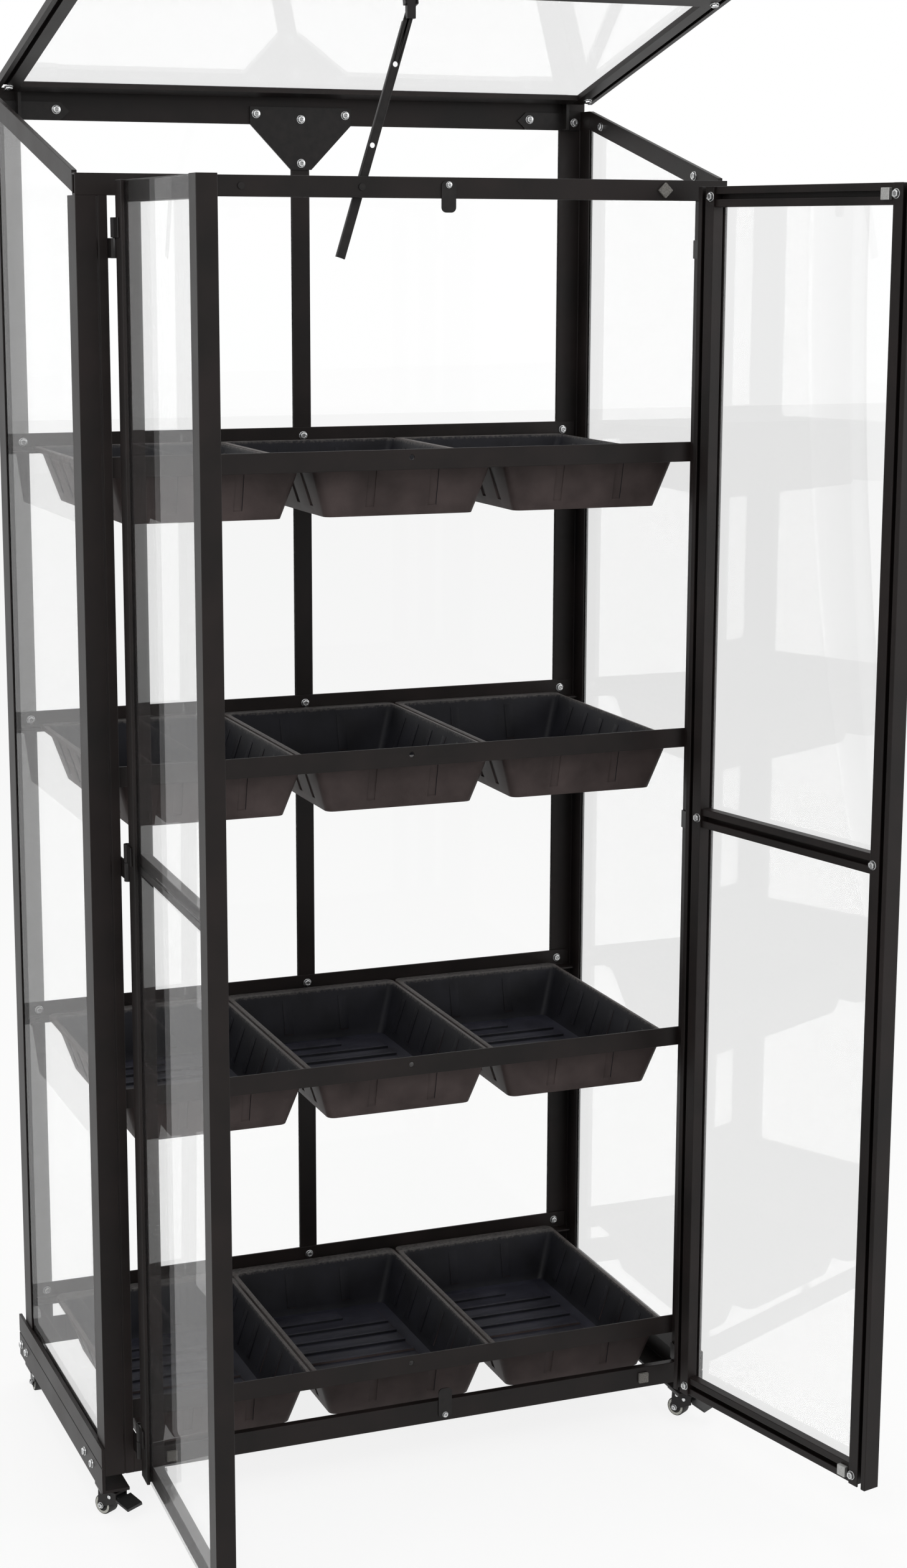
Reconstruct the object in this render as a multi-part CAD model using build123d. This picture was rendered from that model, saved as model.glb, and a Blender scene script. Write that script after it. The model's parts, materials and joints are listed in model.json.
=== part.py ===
"""Lean-to mini greenhouse on casters: glazed cabinet, two doors, a propped lid and twelve seed trays."""
import os
from math import atan, cos, degrees, radians, sin

from build123d import *

# Sizes in millimetres. X runs across the front, Y towards the back, Z up from the floor.
# Cabinet
WIDTH = 800.0
DEPTH = 425.0
FRONT_TOP = 1596.0
ROOF_SLOPE = 0.25
BASE_BOTTOM = 60.0
POST = 36.0
FRONT_POST_DEEP = 13.0
FLANGE = 6.0
SKIN = 2.0
BAR = 24.0
FACE_LINE = 24.0
LINE_WIDE = 1.5
LINE_DEEP = 0.9
# Clear glazing and the grooves that hold it
PANE = 3.0
GROOVE = 3.2
GROOVE_DEEP = 8.0
PANE_SLACK = 0.2
# Base and shelf rails
BASE_RAIL_TALL = 28.0
BASE_RAIL_DEEP = 10.0
SIDE_RAIL_LOW = 38.0
SIDE_RAIL_TALL = 58.0
SIDE_RAIL_THICK = 4.0
SIDE_RAIL_FOOT = 30.0
SIDE_RAIL_TAIL = 24.0
SHELF_TOPS = (1284.0, 928.0, 540.0, 148.0)
ANGLE = 2.5
SHELF_LEDGE = 18.0
SHELF_INSET = 10.0
RAIL_HOLE_R = 3.0
STUD = 24.0
# Seed trays
TRAYS_ACROSS = 3
TRAY_GAP = 2.5
TRAY_PLAY = 1.5
TRAY_LEDGE = (5.0, 21.0)
TRAY_LEAN = (21.0, 15.0)
TRAY_DEEP = 65.0
TRAY_WALL = 1.6
TRAY_CORNER = 9.0
RIM_TALL = 6.0
RIM_CORNER = 5.0
FLUTE = 2.5
FLUTE_WIDE = 16.0
TRAY_RIBS = 6
RIB_WIDE = 4.0
RIB_TALL = 2.0
RIB_INSET = 24.0
RIB_END = 30.0
# Doors
DOOR_BOTTOM = 70.0
DOOR_TOP = 1588.0
DOOR_INNER = -4.0
DOOR_DEEP = 22.0
DOOR_AXIS_IN = 1.0
DOOR_CLEAR = 6.0
STILE = 28.0
RAIL_DEEP = 12.0
RAIL_SET = 3.0
SLOT = 6.0
STILE_SOLID = 10.0
STILE_GROOVE = 7.0
DOOR_GAP = 2.0
LEFT_OPEN = 92.0
RIGHT_OPEN = 103.2
HINGE_HEIGHTS = (112.0, 824.0, 1526.0)
KNUCKLE = 21.8
KNUCKLE_R = 4.5
PIN_R = 2.5
RUN = 0.05
LEAF = 2.0
LEAF_LONG = 24.0
HINGE_GAP = 0.2
# Lid and its stay
LID_AXIS_Y = 408.0
LID_LONG = 426.0
LID_THICK = 10.0
LID_SIDE = 28.0
LID_FRONT = 34.0
LID_BACK = 18.0
LID_REBATE = 10.0
LID_SOLID = 12.0
LID_WEB = 4.0
LID_OPEN = 14.7
LID_SEAT = 0.6
LID_TUBE_R = 6.0
LID_PIN_R = 3.0
RIDGE_TALL = 14.0
STAY_BACK = 398.0
STAY_DROP = 18.0
STAY_LONG = 285.0
STAY_WIDE = 11.0
STAY_LEAN = 17.2
STAY_HOLES = (57.0, 152.0, 203.0)
STAY_PIN_R = 2.0
STAY_RIVET_DROP = 16.0
STAY_SKIN = 2.0
PEGS = (-66.0, -210.0)
# Casters
CASTER_IN = 12.0
CASTER_BACK = 22.0
CASTER_TRAIL = 8.0
CASTER_TURN = 32.0
CASTER_PLATE = 32.0
CASTER_SKIN = 3.0
CASTER_GAP = 0.3
KING_R = 4.0
FORK_HALF = 10.0
FORK_SKIN = 1.8
FORK_END = 4.0
PEDAL_AHEAD = 13.0
PEDAL_DROP = 9.0
PEDAL_PIN_R = 2.0
PEDAL_LONG = 27.0
PEDAL_NECK = 7.0
PEDAL_HALF = 13.0
PEDAL_THICK = 3.4
WHEEL_R = 12.5
WHEEL_WIDE = 15.0
AXLE_R = 2.5
# Fastenings
BOLT_R = 5.0
BOLT_TALL = 4.0
DOOR_BOLT_TALL = 3.0
SHELF_BOLT_DROP = 11.0
POST_BOLT_IN = 8.0
SIDE_BOLTS_FRONT = ((50.0, 18.0), (87.0, 18.0))
SIDE_BOLTS_REAR = ((-17.0, 18.0), (12.0, 18.0))
RAFTER_BOLTS = (77.0, 352.0)
GUSSET_HALF = 68.0
GUSSET_FOOT = 14.0
GUSSET_TALL = 80.0
GUSSET_BOLTS = ((-60.0, 11.0), (60.0, 11.0), (0.0, 17.0), (0.0, 72.0))
CORNER_BOLTS = ((45.0, 11.0), (-20.0, 14.0))
CORNER_TIP = 62.0
PAD = 13.0
PAD_TALL = 3.5
PAD_X = 317.0
PAD_TURNS = ((14.0, 45.0), (0.0, 0.0))
STRIKE_X = 40.0
STRIKE_WIDE = 18.0
STRIKE_THICK = 1.5
STRIKE_REACH = 16.0

HALF = WIDTH / 2
IN = HALF - POST
RAIL_LOW = FRONT_TOP - BAR
SIDE_FRONT = POST
SIDE_REAR = DEPTH - POST
BACK_FACE = DEPTH - FLANGE
REAR_TOP = FRONT_TOP + ROOF_SLOPE * SIDE_REAR
GROOVE_IN = (FLANGE - GROOVE) / 2
LID_CLOSED = degrees(atan(ROOF_SLOPE))
LID_AXIS_Z = FRONT_TOP + LID_SEAT + ROOF_SLOPE * LID_AXIS_Y + LID_THICK / cos(atan(ROOF_SLOPE))
DOOR_AXIS_X = IN - DOOR_AXIS_IN
DOOR_AXIS_Y = DOOR_INNER - DOOR_DEEP
DOOR_EDGE = DOOR_AXIS_X - DOOR_CLEAR
DOOR_MID = (DOOR_BOTTOM + DOOR_TOP) / 2
DOOR_MEET = DOOR_GAP / 2
DOOR_RAILS = (DOOR_BOTTOM + BAR / 2, DOOR_MID, DOOR_TOP - BAR / 2)
SHELF_FRONT = FRONT_POST_DEEP + ANGLE + TRAY_PLAY
SHELF_REAR = BACK_FACE - ANGLE - BOLT_TALL - TRAY_PLAY
TRAY_PITCH = (2 * IN - PANE_SLACK) / TRAYS_ACROSS
TRAY_RIM = (TRAY_PITCH - TRAY_GAP, SHELF_REAR - SHELF_FRONT)
TRAY_TOP = (TRAY_RIM[0] - 2 * TRAY_LEDGE[0], TRAY_RIM[1] - 2 * TRAY_LEDGE[1])
TRAY_FLOOR = (TRAY_TOP[0] - 2 * TRAY_LEAN[0], TRAY_TOP[1] - 2 * TRAY_LEAN[1])
LID_REAR = -LID_TUBE_R - LID_WEB
FORK_TOP = SIDE_RAIL_LOW - CASTER_SKIN - CASTER_GAP
PEDAL_Z = FORK_TOP - PEDAL_DROP


# Shape helpers
def block(x0, x1, y0, y1, z0, z1):
    """Box between two opposite corners."""
    return Pos((x0 + x1) / 2, (y0 + y1) / 2, (z0 + z1) / 2) * Box(x1 - x0, y1 - y0, z1 - z0)


def rect(x0, y0, x1, y1):
    """Rectangle between two opposite corners, for section sketches."""
    return Pos((x0 + x1) / 2, (y0 + y1) / 2) * Rectangle(x1 - x0, y1 - y0)


def outline(points):
    """Flat face inside a closed line of points."""
    return make_face(Polyline(*points, close=True))


def along_x(section, x0, x1):
    """Bar whose section is drawn in Y and Z."""
    return extrude(Plane.YZ.offset(x0) * section, x1 - x0)


def along_z(section, z0, z1):
    """Bar whose section is drawn in X and Y."""
    return extrude(Plane.XY.offset(z0) * section, z1 - z0)


def plate_y(section, y0, y1):
    """Plate whose outline is drawn in X and Z."""
    return extrude(Plane.XZ.offset(-y1) * section, y1 - y0)


def round_x(x0, x1, y, z, radius):
    """Round bar along X."""
    return along_x(Pos(y, z) * Circle(radius), x0, x1)


def round_y(x, y0, y1, z, radius):
    """Round bar along Y."""
    return plate_y(Pos(x, z) * Circle(radius), y0, y1)


def round_z(x, y, z0, z1, radius):
    """Round bar along Z."""
    return along_z(Pos(x, y) * Circle(radius), z0, z1)


def hex_y(x, y0, y1, z):
    """Hexagon bolt head whose axis runs along Y."""
    return plate_y(Pos(x, z) * RegularPolygon(BOLT_R, 6), y0, y1)


def hex_x(x0, x1, y, z):
    """Hexagon bolt head whose axis runs along X."""
    return along_x(Pos(y, z) * RegularPolygon(BOLT_R, 6), x0, x1)


def both_sides(shape):
    """The shape and its mirror image across the middle of the cabinet."""
    return [shape, mirror(shape, about=Plane.YZ)]


# Cabinet frame
def front_post():
    """Left front post: a box section with a grooved flange down the side."""
    section = rect(0, 0, POST, FRONT_POST_DEEP) + rect(0, 0, FLANGE, POST)
    section -= rect(SKIN, SKIN, POST - SKIN, FRONT_POST_DEEP - SKIN)
    section -= rect(GROOVE_IN, POST - GROOVE_DEEP, GROOVE_IN + GROOVE, POST)
    section -= rect(FACE_LINE, 0, FACE_LINE + LINE_WIDE, LINE_DEEP)
    return along_z(Pos(-HALF, 0) * section, BASE_BOTTOM, RAIL_LOW)


def rear_post():
    """Left rear post: an angle with grooves for the side pane and the back pane."""
    section = rect(0, -FLANGE, POST, 0) + rect(0, -POST, FLANGE, 0)
    section -= rect(GROOVE_IN, -POST, GROOVE_IN + GROOVE, GROOVE_DEEP - POST)
    section -= rect(POST - GROOVE_DEEP, -GROOVE_IN - GROOVE, POST, -GROOVE_IN)
    return along_z(Pos(-HALF, DEPTH) * section, BASE_BOTTOM, REAR_TOP)


def rear_stud():
    """Middle stud of the back, grooved on both edges."""
    section = rect(-STUD / 2, BACK_FACE, STUD / 2, DEPTH)
    for side in (-1, 1):
        edge = side * STUD / 2
        low, high = sorted((edge, edge - side * GROOVE_DEEP))
        section -= rect(low, BACK_FACE + GROOVE_IN, high, BACK_FACE + GROOVE_IN + GROOVE)
    return along_z(section, BASE_BOTTOM + BASE_RAIL_TALL + GROOVE_DEEP, REAR_TOP - BAR)


def front_top_rail():
    """Hollow rail across the tops of the front posts."""
    section = rect(0, RAIL_LOW, FRONT_POST_DEEP, FRONT_TOP)
    section -= rect(SKIN, RAIL_LOW + SKIN, FRONT_POST_DEEP - SKIN, FRONT_TOP - SKIN)
    return along_x(section, -HALF, HALF)


def rear_top_rail():
    """Rail between the rear posts, grooved below for the back panes, with an upstand behind the ridge."""
    section = rect(BACK_FACE, REAR_TOP - BAR, DEPTH, REAR_TOP)
    low = REAR_TOP - BAR
    section -= rect(BACK_FACE + GROOVE_IN, low, BACK_FACE + GROOVE_IN + GROOVE, low + GROOVE_DEEP)
    upstand = block(-HALF, HALF, BACK_FACE, DEPTH, REAR_TOP, REAR_TOP + RIDGE_TALL)
    return along_x(section, -IN, IN) + upstand


def roof_z(y):
    """Height of a rafter's top edge."""
    return FRONT_TOP + ROOF_SLOPE * y


def roof_band(front, rear, drop):
    """Sloping strip under the roof line between two depths."""
    upper = [(front, roof_z(front)), (rear, roof_z(rear))]
    return outline(upper + [(rear, roof_z(rear) - drop), (front, roof_z(front) - drop)])


def rafter():
    """Left sloping rail, grooved below for the side pane."""
    front, rear = FRONT_POST_DEEP, SIDE_REAR
    start = -HALF + GROOVE_IN
    bar = along_x(roof_band(front, rear, BAR), -HALF, -HALF + FLANGE)
    web = along_x(roof_band(front, rear, BAR), start, start + GROOVE)
    top = along_x(roof_band(front, rear, BAR - GROOVE_DEEP), start, start + GROOVE)
    return bar - (web - top)


def base_side():
    """Left side rail outside the posts: an angle over the casters, with the sill of the side pane."""
    outer = -HALF - SIDE_RAIL_THICK
    high = SIDE_RAIL_LOW + SIDE_RAIL_TALL
    line = SIDE_RAIL_LOW + SIDE_RAIL_TALL * 0.55
    angle = rect(outer, SIDE_RAIL_LOW, -HALF, high)
    angle += rect(outer, SIDE_RAIL_LOW, -HALF + SIDE_RAIL_FOOT, SIDE_RAIL_LOW + SIDE_RAIL_THICK)
    angle -= rect(outer, line, outer + LINE_DEEP, line + LINE_WIDE)
    sill = rect(-HALF, high - BAR, -HALF + FLANGE, high)
    sill -= rect(-HALF + GROOVE_IN, high - GROOVE_DEEP, -HALF + GROOVE_IN + GROOVE, high)
    return plate_y(angle, 0, DEPTH + SIDE_RAIL_TAIL) + plate_y(sill, SIDE_FRONT, SIDE_REAR)


def base_rails():
    """Bottom frame: front and back rails between the posts, and side rails outside them."""
    high = BASE_BOTTOM + BASE_RAIL_TALL
    front = rect(0, BASE_BOTTOM, BASE_RAIL_DEEP, high)
    front -= rect(SKIN, BASE_BOTTOM + SKIN, BASE_RAIL_DEEP - SKIN, high - SKIN)
    groove = BACK_FACE + GROOVE_IN
    rear = rect(BACK_FACE, BASE_BOTTOM, DEPTH, high + GROOVE_DEEP)
    rear -= rect(groove, high, groove + GROOVE, high + GROOVE_DEEP)
    return [along_x(front, -IN, IN), along_x(rear, -IN, IN)] + both_sides(base_side())


def shelf_rails(top):
    """Front and back angles of one tier, with their ledges turned inwards."""
    low = top - BAR
    reach = HALF - SHELF_INSET
    front = rect(FRONT_POST_DEEP, low, FRONT_POST_DEEP + ANGLE, top)
    front += rect(FRONT_POST_DEEP, low, FRONT_POST_DEEP + ANGLE + SHELF_LEDGE, low + ANGLE)
    rear = rect(BACK_FACE - ANGLE, low, BACK_FACE, top)
    rear += rect(BACK_FACE - ANGLE - SHELF_LEDGE, low, BACK_FACE, low + ANGLE)
    front_bar = along_x(front, -reach, reach)
    front_bar -= round_y(0, 0, FRONT_POST_DEEP + 2 * ANGLE, top - BAR * 0.4, RAIL_HOLE_R)
    return [front_bar, along_x(rear, -reach, reach)]


def side_pane():
    """Left side pane, cut to the roof slope and held in four grooves."""
    front = SIDE_FRONT - GROOVE_DEEP + PANE_SLACK
    rear = SIDE_REAR + GROOVE_DEEP - PANE_SLACK
    low = SIDE_RAIL_LOW + SIDE_RAIL_TALL - GROOVE_DEEP
    lift = GROOVE_DEEP - BAR - 2 * PANE_SLACK
    upper = [(rear, roof_z(rear) + lift), (front, roof_z(front) + lift)]
    start = -HALF + (FLANGE - PANE) / 2
    return along_x(outline([(front, low), (rear, low)] + upper), start, start + PANE)


def back_pane():
    """Left back pane between the rear post and the stud."""
    near = BACK_FACE + (FLANGE - PANE) / 2
    low = BASE_BOTTOM + BASE_RAIL_TALL
    high = REAR_TOP - BAR + GROOVE_DEEP - PANE_SLACK
    left = -IN - GROOVE_DEEP + PANE_SLACK
    right = -STUD / 2 + GROOVE_DEEP - PANE_SLACK
    return block(left, right, near, near + PANE, low, high)


def gusset():
    """Tee plate that joins the stud to the rear top rail."""
    top, low, point = REAR_TOP - SKIN, REAR_TOP - BAR, REAR_TOP - GUSSET_TALL
    right = [(GUSSET_HALF, top), (GUSSET_HALF, low), (GUSSET_FOOT, point)]
    left = [(-x, z) for x, z in reversed(right)]
    return plate_y(outline(right + left), BACK_FACE - ANGLE, BACK_FACE)


def lid_bracket():
    """Left rear corner plate with a pointed end, an ear and the pin that the lid turns on."""
    ear_out, ear_in = -IN - 6, -IN - 2
    top, low = REAR_TOP - SKIN, REAR_TOP - BAR
    tip, shoulder = -IN + CORNER_TIP, -IN + CORNER_TIP - BAR / 2
    edge = [(-HALF + FLANGE + 2, low), (-HALF + FLANGE + 2, top), (shoulder, top), (tip, (top + low) / 2)]
    plate = plate_y(outline(edge + [(shoulder, low)]), BACK_FACE - ANGLE, BACK_FACE)
    ear_face = rect(LID_AXIS_Y - LID_TUBE_R, low, BACK_FACE, LID_AXIS_Z)
    ear_face += Pos(LID_AXIS_Y, LID_AXIS_Z) * Circle(LID_TUBE_R)
    pin = round_x(ear_in, ear_in + 16, LID_AXIS_Y, LID_AXIS_Z, LID_PIN_R)
    return plate + along_x(ear_face, ear_out, ear_in) + pin


def frame_bolts():
    """Hexagon heads on the rear rails, plates, rafters and side rails."""
    face = BACK_FACE - ANGLE
    heads = []
    for top in SHELF_TOPS:
        for x in (-IN - POST_BOLT_IN, 0, IN + POST_BOLT_IN):
            heads.append(hex_y(x, face - BOLT_TALL, face, top - SHELF_BOLT_DROP))
    for x, drop in GUSSET_BOLTS:
        heads.append(hex_y(x, face - BOLT_TALL, face, REAR_TOP - drop))
    for inward, drop in CORNER_BOLTS:
        heads += both_sides(hex_y(inward - IN, face - BOLT_TALL, face, REAR_TOP - drop))
    inner = -HALF + FLANGE
    for y in RAFTER_BOLTS:
        heads += both_sides(hex_x(inner, inner + BOLT_TALL, y, roof_z(y) - BAR / 2))
    outer = -HALF - SIDE_RAIL_THICK
    for y, rise in SIDE_BOLTS_FRONT + tuple((DEPTH + y, rise) for y, rise in SIDE_BOLTS_REAR):
        heads += both_sides(hex_x(outer - BOLT_TALL, outer, y, SIDE_RAIL_LOW + rise))
    return heads


def strike_plate(z0, z1):
    """Steel tongue with round ends between two heights."""
    face = Pos(STRIKE_X, (z0 + z1) / 2) * RectangleRounded(STRIKE_WIDE, z1 - z0, STRIKE_WIDE / 3)
    return plate_y(face, -STRIKE_THICK, 0)


def strike_plates():
    """Steel tongues on the top and bottom rails that the door magnets meet."""
    upper = strike_plate(RAIL_LOW - STRIKE_REACH, FRONT_TOP - 2 * SKIN)
    base_top = BASE_BOTTOM + BASE_RAIL_TALL
    return [upper, strike_plate(BASE_BOTTOM + 2 * SKIN, base_top + STRIKE_REACH)]


def bumper_pads():
    """Square foam stops that the closed doors rest on."""
    pads = []
    heights = (FRONT_TOP - BAR / 2, BASE_BOTTOM + BASE_RAIL_TALL / 2)
    for z, turns in zip(heights, PAD_TURNS):
        for x, turn in zip((-PAD_X, PAD_X), turns):
            pads.append(plate_y(Pos(x, z) * Rot(0, 0, turn) * Rectangle(PAD, PAD), -PAD_TALL, 0))
    return pads


def stay_pegs():
    """Studs behind the front top rail for the stay, with their screw heads in front."""
    z = FRONT_TOP - BAR / 2
    studs = [round_y(x, FRONT_POST_DEEP, FRONT_POST_DEEP + 8, z, 2.5) for x in PEGS]
    return studs + [round_y(x, -STRIKE_THICK, 0, z, 4) for x in PEGS]


def post_hinge(z):
    """Leaf, lower knuckle and pin of one lift-off hinge on the left front post."""
    low, high = z - HINGE_GAP - KNUCKLE, z - HINGE_GAP
    leaf = block(-IN, -IN + LEAF, DOOR_AXIS_Y, FRONT_POST_DEEP - 1, low, high)
    barrel = round_z(-DOOR_AXIS_X, DOOR_AXIS_Y, low, high, KNUCKLE_R)
    return leaf + barrel + round_z(-DOOR_AXIS_X, DOOR_AXIS_Y, high, z + KNUCKLE - 3, PIN_R)


# Doors, drawn closed on the left side
def door_stile(edge, inward):
    """Slotted channel with a groove for the pane; inward points at the pane."""
    section = rect(0, 0, STILE, DOOR_DEEP)
    section -= rect(SKIN, SKIN, STILE - STILE_SOLID, DOOR_DEEP - SKIN)
    middle = (SKIN + STILE - STILE_SOLID) / 2
    section -= rect(middle - SLOT / 2, DOOR_DEEP - SKIN, middle + SLOT / 2, DOOR_DEEP)
    pane_y = DOOR_DEEP - RAIL_SET - RAIL_DEEP - PANE
    slack = PANE_SLACK / 2
    section -= rect(STILE - STILE_GROOVE, pane_y - slack, STILE, pane_y + PANE + slack)
    if inward < 0:
        section = mirror(section, about=Plane.YZ)
    return along_z(Pos(edge, DOOR_AXIS_Y) * section, DOOR_BOTTOM, DOOR_TOP)


def door_rail(z):
    """Slotted channel between the stiles, its slot towards the inside of the cabinet."""
    inner = DOOR_INNER - RAIL_SET
    outer, half = inner - RAIL_DEEP, BAR / 2
    section = rect(outer, z - half, inner, z + half)
    section -= rect(outer + SKIN, z - half + SKIN, inner - SKIN, z + half - SKIN)
    section -= rect(inner - SKIN, z - SLOT / 2, inner, z + SLOT / 2)
    return along_x(section, -DOOR_EDGE + STILE, -DOOR_MEET - STILE)


def door_frame():
    """Two stiles and three rails."""
    stiles = [door_stile(-DOOR_EDGE, 1), door_stile(-DOOR_MEET, -1)]
    return stiles + [door_rail(z) for z in DOOR_RAILS]


def door_panes():
    """Lower and upper panes, outside the rails and in the grooves of the stiles."""
    rear = DOOR_INNER - RAIL_SET - RAIL_DEEP
    hold = STILE_GROOVE - 0.5
    x0, x1 = -DOOR_EDGE + STILE - hold, -DOOR_MEET - STILE + hold
    lower = block(x0, x1, rear - PANE, rear, DOOR_BOTTOM + 1, DOOR_MID - PANE_SLACK)
    upper = block(x0, x1, rear - PANE, rear, DOOR_MID + PANE_SLACK, DOOR_TOP - 1)
    return [lower, upper]


def door_hinges():
    """Leaf and upper knuckle of each hinge, on the outside of the hinge stile."""
    leaves = []
    for z in HINGE_HEIGHTS:
        low, high = z + HINGE_GAP, z + HINGE_GAP + KNUCKLE
        end = -DOOR_AXIS_X + LEAF_LONG
        leaf = block(-DOOR_AXIS_X, end, DOOR_AXIS_Y - LEAF, DOOR_AXIS_Y, low, high)
        barrel = round_z(-DOOR_AXIS_X, DOOR_AXIS_Y, low, high, KNUCKLE_R)
        bore = round_z(-DOOR_AXIS_X, DOOR_AXIS_Y, z, high + 1, PIN_R + RUN)
        leaves.append(leaf + barrel - bore)
    return leaves


def door_bolts():
    """Hexagon heads on the inner face of the stiles at each rail."""
    heads = []
    for z in DOOR_RAILS:
        for x in (-DOOR_EDGE + STILE - BOLT_R, -DOOR_MEET - STILE + BOLT_R):
            heads.append(hex_y(x, DOOR_INNER, DOOR_INNER + DOOR_BOLT_TALL, z))
    return heads


def door_magnets():
    """Square magnets on the top and bottom rails, facing the strike plates."""
    inner = DOOR_INNER - RAIL_SET
    half = PAD / 2
    front = -STRIKE_THICK - HINGE_GAP
    heights = (DOOR_RAILS[0], DOOR_RAILS[-1])
    return [block(-STRIKE_X - half, half - STRIKE_X, inner, front, z - half, z + half) for z in heights]


def hang_left(shapes):
    """Open the left door to its resting angle."""
    axis = Axis((-DOOR_AXIS_X, DOOR_AXIS_Y, 0), (0, 0, 1))
    return [shape.rotate(axis, -LEFT_OPEN) for shape in shapes]


def hang_right(shapes):
    """Mirror to the right side and open to the resting angle."""
    axis = Axis((DOOR_AXIS_X, DOOR_AXIS_Y, 0), (0, 0, 1))
    return [mirror(shape, about=Plane.YZ).rotate(axis, RIGHT_OPEN) for shape in shapes]


# Lid, drawn flat with its hinge axis on the X axis and its front towards -Y
def lid_frame():
    """Two slotted side rails and a hollow front bar, with a rebate for the pane."""
    front = -LID_LONG
    inner = LID_SIDE - LID_SOLID
    slot = (SKIN + inner) / 2
    section = rect(0, -LID_THICK, LID_SIDE, 0)
    section -= rect(SKIN, SKIN - LID_THICK, inner, -SKIN)
    section -= rect(slot - SLOT / 2, -LID_THICK, slot + SLOT / 2, SKIN - LID_THICK)
    side = plate_y(Pos(-HALF, 0) * section, front, LID_REAR)
    edge, rebate_front = -HALF + LID_SIDE, front + LID_FRONT - LID_REBATE
    side -= block(edge - LID_REBATE, edge, rebate_front, LID_REAR - LID_BACK + LID_REBATE, -PANE, 0)
    bar = rect(front, -LID_THICK, front + LID_FRONT, 0)
    bar -= rect(front + SKIN, SKIN - LID_THICK, rebate_front - SKIN, -SKIN)
    bar -= rect(rebate_front, -PANE, front + LID_FRONT, 0)
    return both_sides(side) + [along_x(bar, edge, -edge)]


def lid_hinge_rail():
    """Rounded ridge tube on a web, with the rear bar of the lid."""
    reach = IN + 1.5
    wide = HALF - LID_SIDE
    bar = rect(LID_REAR - LID_BACK, -LID_THICK, LID_REAR, 0)
    bar -= rect(LID_REAR - LID_BACK, -PANE, LID_REAR - LID_BACK + LID_REBATE, 0)
    tube = Circle(LID_TUBE_R) + rect(LID_REAR, -5, 2 - LID_TUBE_R, -1)
    tube -= Circle(LID_PIN_R + RUN)
    return along_x(bar, -wide, wide) + along_x(tube, -reach, reach)


def lid_pane():
    """Clear pane in the rebate of the lid frame."""
    wide = HALF - LID_SIDE + LID_REBATE
    rear = LID_REAR - LID_BACK + LID_REBATE
    return block(-wide, wide, -LID_LONG + LID_FRONT - LID_REBATE, rear, -PANE, 0)


def lid_bolts():
    """Hexagon heads under the four corners of the lid."""
    heads = []
    for y in (LID_FRONT - LID_LONG - 2 * BOLT_R, LID_REAR - LID_BACK):
        face = Pos(-HALF + LID_SIDE / 2, y) * RegularPolygon(BOLT_R, 6)
        heads += both_sides(along_z(face, -LID_THICK - DOOR_BOLT_TALL, -LID_THICK))
    return heads


def stay_bracket():
    """Fork under the front bar with the cross pin of the stay."""
    y, z = -STAY_BACK, -STAY_DROP
    under = -LID_THICK - STAY_SKIN
    base = block(-12, 12, y - 10, y + 6, under, -LID_THICK)
    ears = [block(x, x + 2.5, y - 4.5, y + 4.5, z - 5, under) for x in (-8, 5.5)]
    return base + ears[0] + ears[1] + round_x(-8, 8, y, z, STAY_PIN_R)


def raise_lid(shapes):
    """Turn the flat lid to its propped angle on the ridge."""
    return [Pos(0, LID_AXIS_Y, LID_AXIS_Z) * shape.rotate(Axis.X, -LID_OPEN) for shape in shapes]


def stay_point():
    """Where the stay's cross pin lies with the lid propped: depth and height."""
    turn = radians(-LID_OPEN)
    y = -STAY_BACK * cos(turn) + STAY_DROP * sin(turn)
    z = -STAY_BACK * sin(turn) - STAY_DROP * cos(turn)
    return LID_AXIS_Y + y, LID_AXIS_Z + z


def stay_swivel():
    """Small block that turns on the cross pin and carries the bar's rivet."""
    y, z = stay_point()
    knuckle = block(-5.2, 5.2, y - 3.5, y + 3.5, z - STAY_RIVET_DROP - 4, z + 3.5)
    knuckle -= round_x(-6, 6, y, z, STAY_PIN_R + RUN)
    return knuckle + round_y(0, y + 3.5, y + 7, z - STAY_RIVET_DROP, STAY_PIN_R)


def stay_bar():
    """Channel bar with a row of holes, hung from the rivet and leaning left."""
    y, z = stay_point()
    wide = STAY_WIDE / 2
    front = y + 3.8
    face = rect(-wide, -STAY_LONG, wide, 0) + Circle(wide)
    for reach in STAY_HOLES:
        face -= Pos(0, -reach) * Circle(3)
    face -= Circle(STAY_PIN_R + RUN)
    bar = plate_y(face, front, front + STAY_SKIN)
    for x in (-wide, wide - 1.5):
        bar += block(x, x + 1.5, front, front + 5, -STAY_LONG, -8)
    return Pos(0, 0, z - STAY_RIVET_DROP) * bar.rotate(Axis.Y, STAY_LEAN)


# Casters, drawn about their swivel axis with the pedal towards the front
def caster_plate():
    """Square plate under a side rail with the king pin and its rivet head."""
    half = CASTER_PLATE / 2
    under = SIDE_RAIL_LOW - CASTER_SKIN
    pin_low = FORK_TOP - CASTER_SKIN - 2
    plate = block(-half, half, -half, half, under, SIDE_RAIL_LOW)
    plate += round_z(0, 0, pin_low, under, KING_R)
    return plate + round_z(0, 0, pin_low - 1.5, pin_low, KING_R + 2.5)


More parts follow.
